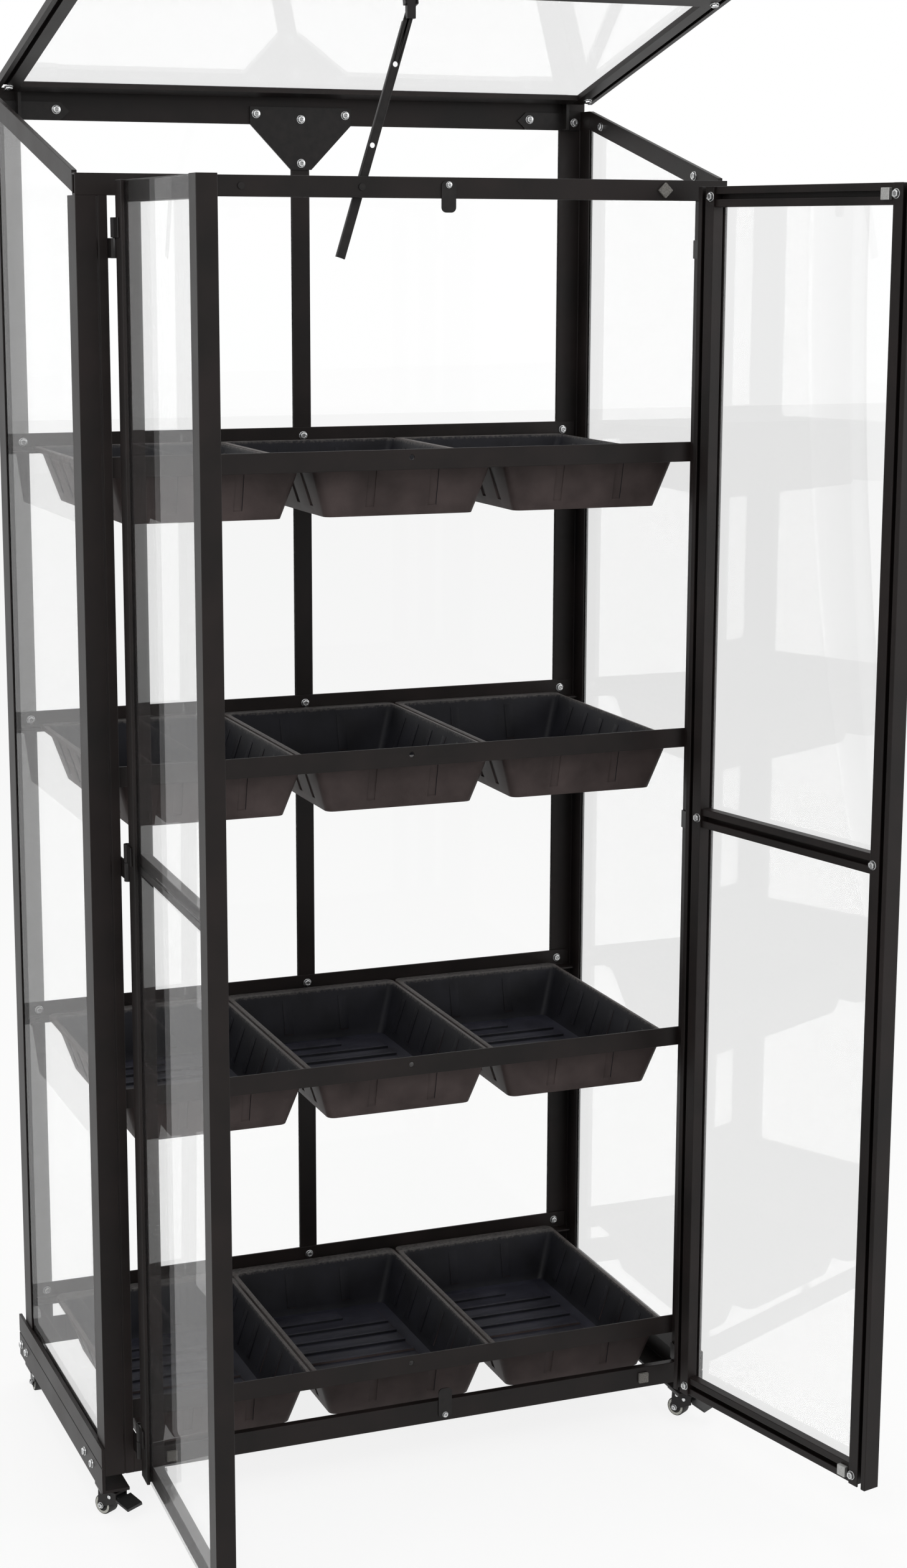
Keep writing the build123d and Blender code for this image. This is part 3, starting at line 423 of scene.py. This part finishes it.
def model_tray():
    """One formed tray: open tapered box, fluted walls, ribbed floor and turned-down rim."""
    tall = RIM_TALL - TRAY_LOW
    tray = begin(bpy.ops.mesh.primitive_cube_add, size=1, location=(0, 0, TRAY_LOW + tall / 2),
                 scale=(WALL_TOP[0], WALL_TOP[1], tall))
    pick(tray, "faces", lambda f: abs(f.normal.z) > 0.9)
    bpy.ops.mesh.delete(type="ONLY_FACE")
    pick(tray, "verts", lambda v: v.co.z < 0)
    bpy.ops.transform.resize(value=(WALL_FOOT[0] / WALL_TOP[0], WALL_FOOT[1] / WALL_TOP[1], 1),
                             center_override=(0, 0, TRAY_LOW))
    pick(tray, "edges", lambda e: abs(e.verts[0].co.z - e.verts[1].co.z) > tall / 2)
    bpy.ops.mesh.bevel(offset=TRAY_CORNER, segments=5, affect="EDGES")
    # Flutes between a line under the rim and a line over the floor
    high, low = RIM_TALL - FLUTE_TOP, TRAY_LOW + FLUTE_FOOT
    end_run, side_run = (size - 2 * TRAY_CORNER - FLUTE_CLEAR for size in WALL_FOOT)
    sides = [(i + 0.5) / SIDE_FLUTES * side_run - side_run / 2 for i in range(SIDE_FLUTES)]
    ends = [(i + 0.5) / END_FLUTES * end_run - end_run / 2 for i in range(END_FLUTES)]
    cuts = [((0, 0, z), (0, 0, 1)) for z in (high, low)]
    cuts += [((0, y + s * FLUTE_WIDE / 2, 0), (0, 1, 0)) for y in sides for s in (-1, 1)]
    cuts += [((x + s * FLUTE_WIDE / 2, 0, 0), (1, 0, 0)) for x in ends for s in (-1, 1)]
    for place, normal in cuts:
        bpy.ops.mesh.select_all(action="SELECT")
        bpy.ops.mesh.bisect(plane_co=place, plane_no=normal)

    def in_flute(face):
        c, n = face.calc_center_median(), face.normal
        if not low < c.z < high:
            return False
        if abs(n.x) > 0.8:
            return any(abs(c.y - y) < FLUTE_WIDE / 2 for y in sides)
        return abs(n.y) > 0.8 and any(abs(c.x - x) < FLUTE_WIDE / 2 for x in ends)

    for axis, sign in ((0, 1), (0, -1), (1, 1), (1, -1)):
        pick(tray, "faces", lambda f: in_flute(f) and abs(f.normal[axis]) > 0.8
             and f.calc_center_median()[axis] * sign > 0)
        step = [0, 0, 0]
        step[axis] = -sign * FLUTE_DEEP
        bpy.ops.mesh.extrude_region_move(TRANSFORM_OT_translate={"value": step})
        bpy.ops.transform.resize(value=(1, 1, FLUTE_SLOPE), center_override=(0, 0, (high + low) / 2))
    # Floor with a raised field and cross ribs
    pick(tray, "edges", lambda e: e.is_boundary and middle(e).z < TRAY_LOW + 0.001)
    bpy.ops.mesh.edge_face_add()
    pick(tray, "faces", lambda f: abs(f.normal.z) > 0.9 and f.calc_center_median().z < TRAY_LOW + 0.001)
    bpy.ops.mesh.inset(thickness=0.003)
    shrink = [1 - 2 * FLOOR_EDGE / size for size in WALL_FOOT]
    bpy.ops.transform.resize(value=(shrink[0], shrink[1], 1), center_override=(0, 0, TRAY_LOW))
    bpy.ops.mesh.inset(thickness=FIELD_SLOPE)
    bpy.ops.transform.translate(value=(0, 0, FIELD_TALL))
    run = WALL_FOOT[1] - 2 * FLOOR_EDGE - RIB_CLEAR - PATCH_LONG
    rows = [(i + 0.5) / FLOOR_RIBS * run - run / 2 - PATCH_LONG / 2 for i in range(FLOOR_RIBS)]
    patch = WALL_FOOT[1] / 2 - FLOOR_EDGE - PATCH_CLEAR - PATCH_LONG

    def field(face):
        rise = face.calc_center_median().z - TRAY_LOW
        return abs(face.normal.z) > 0.9 and abs(rise - FIELD_TALL) < 0.0006

    for y in rows:
        for edge in (y - RIB_WIDE / 2, y + RIB_WIDE / 2):
            pick(tray, "faces", field)
            bpy.ops.mesh.bisect(plane_co=(0, edge, 0), plane_no=(0, 1, 0))
    for y in (patch, patch + PATCH_LONG):
        pick(tray, "faces", field)
        bpy.ops.mesh.bisect(plane_co=(0, y, 0), plane_no=(0, 1, 0))
    for x in (-RIB_HALF, RIB_HALF, PATCH_X[1]):
        pick(tray, "faces", field)
        bpy.ops.mesh.bisect(plane_co=(x, 0, 0), plane_no=(1, 0, 0))
    pick(tray, "faces", lambda f: field(f) and abs(f.calc_center_median().x) < RIB_HALF
         and any(abs(f.calc_center_median().y - y) < RIB_WIDE / 2 for y in rows))
    bpy.ops.mesh.extrude_region_move(TRANSFORM_OT_translate={"value": (0, 0, RIB_TALL)})
    pick(tray, "faces", lambda f: field(f) and PATCH_X[0] < f.calc_center_median().x < PATCH_X[1]
         and patch < f.calc_center_median().y < patch + PATCH_LONG)
    bpy.ops.mesh.extrude_region_move(TRANSFORM_OT_translate={"value": (0, 0, PATCH_TALL)})
    # Rim: out, a small step up, then turned down
    pick(tray, "edges", lambda e: e.is_boundary and middle(e).z > RIM_TALL - 0.001)
    wide, long = RIM[0] - TRAY_SHEET, RIM[1] - TRAY_SHEET
    bpy.ops.mesh.extrude_region_move(TRANSFORM_OT_translate={"value": (0, 0, -TRAY_SHEET / 2)})
    bpy.ops.transform.resize(value=(wide / WALL_TOP[0], long / WALL_TOP[1], 1), center_override=(0, 0, 0))
    turn_down = TRAY_SHEET / 2 + 0.0002 - RIM_TALL
    bpy.ops.mesh.extrude_region_move(TRANSFORM_OT_translate={"value": (0, 0, turn_down)})
    bpy.ops.mesh.select_all(action="SELECT")
    bpy.ops.mesh.normals_make_consistent(inside=False)
    bpy.ops.object.mode_set(mode="OBJECT")
    apply_modifier(tray, "SOLIDIFY", thickness=TRAY_SHEET, offset=0.0)
    apply_modifier(tray, "BEVEL", width=TRAY_EDGE, segments=2, limit_method="ANGLE",
                   angle_limit=radians(35))
    bpy.ops.object.shade_smooth_by_angle(angle=radians(40))
    # Scuffs and painted highlight on the rim's top and the ribs' tops
    wear_and_highlight = tray.data.attributes.new("scuff", "FLOAT", "POINT")
    for point, vert in zip(wear_and_highlight.data, tray.data.vertices):
        top = max(0.0, min(1.0, (vert.co.z - RIM_TALL + SCUFF_AND_HIGHLIGHT_START) / SCUFF_AND_HIGHLIGHT_RISE))
        rib = RIB_SCUFF_AND_HIGHLIGHT if TRAY_LOW + RIB_TOPS[0] < vert.co.z < TRAY_LOW + RIB_TOPS[1] else 0.0
        point.value = max(top, rib)
    outside = tray.data.attributes.new("outside", "FLOAT", "FACE")
    for point, face in zip(outside.data, tray.data.polygons):
        away = face.normal.x * face.center.x + face.normal.y * face.center.y
        point.value = 1.0 if away > 0.01 or face.normal.z < -0.5 else 0.0
    # Painted light: marks the up-facing floor faces for the paler bluish colour
    bed = tray.data.attributes.new("bed", "FLOAT", "FACE")
    for point, face in zip(bed.data, tray.data.polygons):
        point.value = 1.0 if face.normal.z > 0.5 and face.center.z < TRAY_LOW + BED_TALL else 0.0
    return tray


def model_bolt():
    """Flanged hexagon head on z = 0, pointing up."""
    bolt = begin(bpy.ops.mesh.primitive_cylinder_add, vertices=28, radius=FLANGE_R, depth=FLANGE_TALL,
                 location=(0, 0, FLANGE_TALL / 2))
    pick(bolt, "edges", lambda e: middle(e).z > FLANGE_TALL * 0.9
         and abs(e.verts[0].co.z - e.verts[1].co.z) < 1e-6)
    bpy.ops.mesh.bevel(offset=FLANGE_TALL * 0.6, segments=2, affect="EDGES")
    pick(bolt, "faces", lambda f: f.normal.z > 0.9 and len(f.verts) > 20)
    bpy.ops.mesh.inset(thickness=0.0005)
    bpy.ops.mesh.inset(thickness=0.0004, depth=-0.0002)
    bpy.ops.object.mode_set(mode="OBJECT")
    head = begin(bpy.ops.mesh.primitive_cylinder_add, vertices=6, radius=HEX_R, depth=HEX_TALL,
                 location=(0, 0, FLANGE_TALL + HEX_TALL / 2))
    pick(head, "faces", lambda f: f.normal.z > 0.9)
    bpy.ops.mesh.bevel(offset=0.0006, segments=2, affect="EDGES")
    pick(head, "faces", lambda f: f.normal.z > 0.9
         and f.calc_center_median().z > FLANGE_TALL + HEX_TALL * 0.98)
    bpy.ops.mesh.inset(thickness=0.0012)
    bpy.ops.mesh.inset(thickness=0.0004, depth=-0.0003)
    bpy.ops.mesh.inset(thickness=0.0006)
    pick(head, "faces", lambda f: f.normal.z < -0.9)
    bpy.ops.mesh.delete(type="FACE")
    bpy.ops.object.mode_set(mode="OBJECT")
    bolt.select_set(True)
    bpy.context.view_layer.objects.active = bolt
    bpy.ops.object.join()
    bpy.ops.object.shade_smooth_by_angle(angle=radians(35))
    # Painted shade at the foot of the hexagon, in its dish and where the flange meets its seat
    crease = bolt.data.attributes.new("crease", "FLOAT", "POINT")
    for point, vert in zip(crease.data, bolt.data.vertices):
        reach = (vert.co.x ** 2 + vert.co.y ** 2) ** 0.5
        foot = vert.co.z < FLANGE_TALL + 0.0001 and reach < HEX_R + 0.0002
        dish = vert.co.z > FLANGE_TALL + HEX_TALL - 0.0005 and reach < DISH_R
        point.value = 0.9 if foot else 0.6 if vert.co.z < 0.0001 else 0.0
        if dish:
            point.value = 0.9 if reach > DISH_MID else 0.45
    return bolt


def model_wheel():
    """Wheel about its axle, which lies along x."""
    wheel = begin(bpy.ops.mesh.primitive_cylinder_add, vertices=48, radius=WHEEL_R, depth=WHEEL_WIDE,
                  rotation=(0, pi / 2, 0))
    half = WHEEL_WIDE / 2
    pick(wheel, "edges", lambda e: abs(abs(middle(e).x) - half) < 1e-5)
    bpy.ops.mesh.bevel(offset=0.0014, segments=3, affect="EDGES")
    for sign in (-1, 1):
        pick(wheel, "faces", lambda f: f.normal.x * sign > 0.99 and len(f.verts) > 20)
        bpy.ops.mesh.inset(thickness=0.0006)
        bpy.ops.mesh.inset(thickness=0.0024)
        bpy.ops.mesh.inset(thickness=0.0004, depth=-0.0011)
        bpy.ops.mesh.inset(thickness=0.0022)
        bpy.ops.mesh.inset(thickness=0.0005, depth=0.0009)
    bpy.ops.object.mode_set(mode="OBJECT")
    bpy.ops.object.shade_smooth_by_angle(angle=radians(40))
    for face in wheel.data.polygons:
        c = face.center
        reach = (c.y ** 2 + c.z ** 2) ** 0.5
        on_side = abs(face.normal.x) > 0.9
        in_band = WHEEL_R - RING_BAND[1] < reach < WHEEL_R - RING_BAND[0]
        face.material_index = 1 if on_side and in_band else 0
    return wheel


def model_rivet():
    """Domed rivet head on z = 0, pointing up."""
    rivet = begin(bpy.ops.mesh.primitive_cylinder_add, vertices=20, radius=RIVET_R, depth=RIVET_TALL,
                  location=(0, 0, RIVET_TALL / 2))
    pick(rivet, "faces", lambda f: f.normal.z > 0.9)
    bpy.ops.mesh.bevel(offset=0.0008, segments=3, affect="EDGES")
    bpy.ops.object.mode_set(mode="OBJECT")
    bpy.ops.object.shade_smooth_by_angle(angle=radians(40))
    return rivet


def copies(master, name, places):
    """One piece made of copies of a master mesh at the given matrices."""
    bpy.ops.object.select_all(action="DESELECT")
    made = []
    for place in places:
        twin = master.copy()
        twin.data = master.data.copy()
        twin.data.transform(place)
        bpy.context.collection.objects.link(twin)
        twin.select_set(True)
        made.append(twin)
    bpy.context.view_layer.objects.active = made[0]
    if len(made) > 1:
        bpy.ops.object.join()
    piece = bpy.context.view_layer.objects.active
    piece.name = piece.data.name = name
    return piece


def dress(piece, *materials):
    """Gives a new piece its materials in order."""
    for material in materials:
        piece.data.materials.append(material)


# What the CAD solids say about places
def solids(name):
    """Corner points of each separate solid of a node."""
    mesh = NODES[name].data
    home = NODES[name].matrix_world
    key = [tuple(round(c, 5) for c in home @ v.co) for v in mesh.vertices]
    parent = {}

    def root(k):
        while parent.setdefault(k, k) != k:
            k = parent[k]
        return k

    for face in mesh.polygons:
        first = root(key[face.vertices[0]])
        for index in face.vertices[1:]:
            parent[root(key[index])] = first
    groups = {}
    for k in parent:
        groups.setdefault(root(k), []).append(Vector(k))
    return [groups[k] for k in sorted(groups)]


def head_place(points, out):
    """Matrix that stands a head on its seat, for a prism whose axis is near the outward hint."""
    centre = sum(points, Vector()) / len(points)
    caps = [p for p in points if (p - centre).dot(out) > 0]
    axis = sum(caps, Vector()) / len(caps) - centre
    seat = centre - axis
    turn = axis.normalized().to_track_quat("Z", "Y").to_matrix().to_4x4()
    return Matrix.Translation(seat) @ turn


def out_of_frame(points):
    """Which way a frame bolt points: out on the side rails, in on the rafters, forward elsewhere."""
    spread = [max(p[i] for p in points) - min(p[i] for p in points) for i in range(3)]
    centre = sum(points, Vector()) / len(points)
    if spread[0] > spread[1]:
        return Vector((0, -1, 0))
    side = 1 if centre.x > CENTRE_X else -1
    return Vector((side if centre.z < BASE_TOP else -side, 0, 0))


CENTRE_X = sum(c.x for c in map(Vector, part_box("rear_stud"))) / 2
# Which way the heads of each node point, near enough to tell a head from its seat
TIP = {
    "frame_bolts": out_of_frame,
    "left_door_bolts": lambda points: Vector((1, -0.03, 0)),
    "right_door_bolts": lambda points: Vector((-0.97, -0.22, 0)),
    "lid_bolts": lambda points: Vector((0, -0.27, -0.96)),
}

bpy.ops.object.select_all(action="DESELECT")
CAD_SLOT = {part["node"]: part["material_slot"] for part in frame["record"]["subparts"]}

# Seed trays
tray_master = model_tray()
for name in sorted(n for n in NODES if n.startswith("tray_")):
    low, high = (Vector(c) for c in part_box(name))
    place = Matrix.Translation(((low.x + high.x) / 2, (low.y + high.y) / 2, high.z - RIM_TALL))
    tray = copies(tray_master, "formed_" + name, [place])
    dress(tray, FINISHES["tray_plastic"])
    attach(tray, name)
    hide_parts(name)
bpy.data.objects.remove(tray_master)

# Bolts
bolt_master = model_bolt()
RIDES = {"frame_bolts": "frame", "left_door_bolts": "left_door", "right_door_bolts": "right_door",
         "lid_bolts": "lid"}
for name, body in RIDES.items():
    places = [head_place(points, TIP[name](points)) for points in solids(name)]
    heads = copies(bolt_master, "flanged_" + name, places)
    dress(heads, FINISHES["zinc_steel"])
    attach(heads, body)
    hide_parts(name)
strike_places = []
for points in solids("strike_plates"):
    centre = sum(points, Vector()) / len(points)
    front = min(p.y for p in points)
    rail_side = 1 if centre.z > MIDWAY else -1
    edge = max(p.z * rail_side for p in points) * rail_side
    turn = Vector((0, -1, 0)).to_track_quat("Z", "Y").to_matrix().to_4x4()
    seat = Matrix.Translation((centre.x, front, edge - rail_side * STRIKE_SEAT))
    strike_places.append(seat @ turn @ Matrix.Scale(STRIKE_HEAD, 4))
strike_bolts = copies(bolt_master, "strike_bolts", strike_places)
dress(strike_bolts, FINISHES["zinc_steel"])
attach(strike_bolts, "frame")

# Casters
wheel_master = model_wheel()
rivet_master = model_rivet()
AXLES = {joint["child"]: joint for joint in frame["joints"] if joint["name"].startswith("roll_")}
for corner in ("front_left", "front_right", "rear_left", "rear_right"):
    axle = AXLES["wheel_" + corner]
    hub, axis = Vector(axle["pos_m"]), Vector(axle["axis"])
    ahead = Vector((axis.y, -axis.x, 0))
    turn = Matrix((axis, -ahead, Vector((0, 0, 1)))).transposed().to_4x4()
    place = Matrix.Translation(hub) @ turn
    wheel = copies(wheel_master, "ringed_wheel_" + corner, [place])
    dress(wheel, FINISHES["wheel_rubber"], RING)
    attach(wheel, "wheel_" + corner)
    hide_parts("wheel_" + corner)
    # Cheek rivets and axle heads on the fork
    rivets, ends = [], []
    for side in (axis, -axis):
        face = side.to_track_quat("Z", "Y").to_matrix().to_4x4()
        ends.append(Matrix.Translation(hub + side * CHEEK) @ face @ Matrix.Scale(AXLE_HEAD, 4))
        for forward, rise in CHEEK_RIVETS:
            spot = hub + side * CHEEK + ahead * forward + Vector((0, 0, rise))
            rivets.append(Matrix.Translation(spot) @ face)
    for heads in (copies(rivet_master, "rivets_" + corner, rivets),
                  copies(bolt_master, "axle_heads_" + corner, ends)):
        dress(heads, FINISHES["zinc_steel"])
        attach(heads, "fork_" + corner)
for master in (bolt_master, wheel_master, rivet_master):
    bpy.data.objects.remove(master)

# CAD pieces that keep their shape get their finish and softened edges; the lid's mitred corners would
# grow past their own outline, so its edges stay sharp
for name, piece in NODES.items():
    finish_of = FINISHES[CAD_SLOT[name]]
    if piece.material_slots:
        for place in piece.material_slots:
            place.material = finish_of
    else:
        piece.data.materials.append(finish_of)
    if name.startswith(("tray_", "wheel_")) or name in RIDES or name == "lid_frame":
        continue
    weld = piece.modifiers.new("weld", "WELD")
    weld.merge_threshold = WELD
    soften = piece.modifiers.new("soften", "BEVEL")
    soften.width = EDGE
    soften.segments = 2
    soften.limit_method = "ANGLE"
    soften.angle_limit = radians(50)


# Studio
def by_eye(tree):
    """1 for what the lens sees, straight, mirrored or through a pane, and 0 for light."""
    path = node(tree, "ShaderNodeLightPath")
    seen = path.outputs["Is Camera Ray"]
    for kind in ("Is Glossy Ray", "Is Transmission Ray"):
        either = node(tree, "ShaderNodeMath", {0: seen, 1: path.outputs[kind]}, operation="MAXIMUM")
        seen = either.outputs["Value"]
    return seen


def studio_floor():
    """Wide pale floor that keeps the shadow."""
    bpy.ops.object.select_all(action="DESELECT")
    bpy.ops.mesh.primitive_plane_add(size=40.0, location=(0, 0, 0))
    floor = bpy.context.object
    floor.name = "studio_floor"
    material = bpy.data.materials.new("pale_floor")
    material.use_nodes = True
    tree = material.node_tree
    tree.nodes.clear()
    seen = by_eye(tree)
    share = node(tree, "ShaderNodeMath", {0: seen, 1: FLOOR_GLOW}, operation="MULTIPLY")
    matt = node(tree, "ShaderNodeBsdfDiffuse", {"Color": paint("#f2f2f0")})
    glow = node(tree, "ShaderNodeEmission", {"Color": paint("#ffffff"), "Strength": 1.0})
    both = node(tree, "ShaderNodeMixShader", {0: share.outputs["Value"], 1: matt.outputs["BSDF"],
                                              2: glow.outputs["Emission"]})
    node(tree, "ShaderNodeOutputMaterial", {"Surface": both.outputs["Shader"]})
    floor.data.materials.append(material)


def studio_air():
    """White all round to the eye, softer as light."""
    world = bpy.data.worlds.new("studio")
    bpy.context.scene.world = world
    world.use_nodes = True
    tree = world.node_tree
    tree.nodes.clear()
    seen = by_eye(tree)
    light = node(tree, "ShaderNodeBackground", {"Color": paint("#ffffff"), "Strength": AIR_LIGHT})
    white = node(tree, "ShaderNodeBackground", {"Color": paint("#ffffff"), "Strength": 1.0})
    both = node(tree, "ShaderNodeMixShader", {0: seen, 1: light.outputs["Background"],
                                              2: white.outputs["Background"]})
    node(tree, "ShaderNodeOutputWorld", {"Surface": both.outputs["Shader"]})


def softbox(name, place, target, wide, tall, watts):
    """Large soft lamp aimed at a point."""
    lamp = bpy.data.lights.new(name, "AREA")
    lamp.shape = "RECTANGLE"
    lamp.size, lamp.size_y, lamp.energy = wide, tall, watts
    holder = bpy.data.objects.new(name, lamp)
    bpy.context.collection.objects.link(holder)
    holder.location = place
    holder.rotation_euler = (Vector(target) - Vector(place)).to_track_quat("-Z", "Y").to_euler()


studio_floor()
studio_air()
softbox("key_lamp", (-2.6, -3.4, 3.2), (0, 0, 0.9), 2.4, 2.4, 95)
softbox("fill_lamp", (3.2, -2.6, 2.2), (0, 0, 0.9), 2.0, 2.6, 40)
softbox("top_lamp", (0.2, 0.8, 4.2), (0, 0, 0.8), 2.4, 2.4, 45)

# View
scene = bpy.context.scene
camera = bpy.data.objects.new("view", bpy.data.cameras.new("view"))
scene.collection.objects.link(camera)
turn, tilt, roll = radians(LENS_TURN), radians(LENS_TILT), radians(LENS_ROLL)
ahead = Vector((sin(turn) * cos(tilt), cos(turn) * cos(tilt), sin(tilt)))
level = Vector((cos(turn), -sin(turn), 0))
above = level.cross(ahead)
right = level * cos(roll) + above * sin(roll)
above = right.cross(ahead)
aim = Matrix((right, above, -ahead)).transposed().to_4x4()
front_middle = Vector((CENTRE_X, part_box("front_left_post")[0].y, 0))
camera.matrix_world = Matrix.Translation(front_middle + Vector(LENS_AT)) @ aim
camera.data.sensor_fit = "HORIZONTAL"
camera.data.sensor_width = SENSOR_MM
camera.data.lens = SENSOR_MM * LENS_LONG
camera.data.clip_end = 100.0
scene.camera = camera
scene.view_settings.view_transform = "Standard"
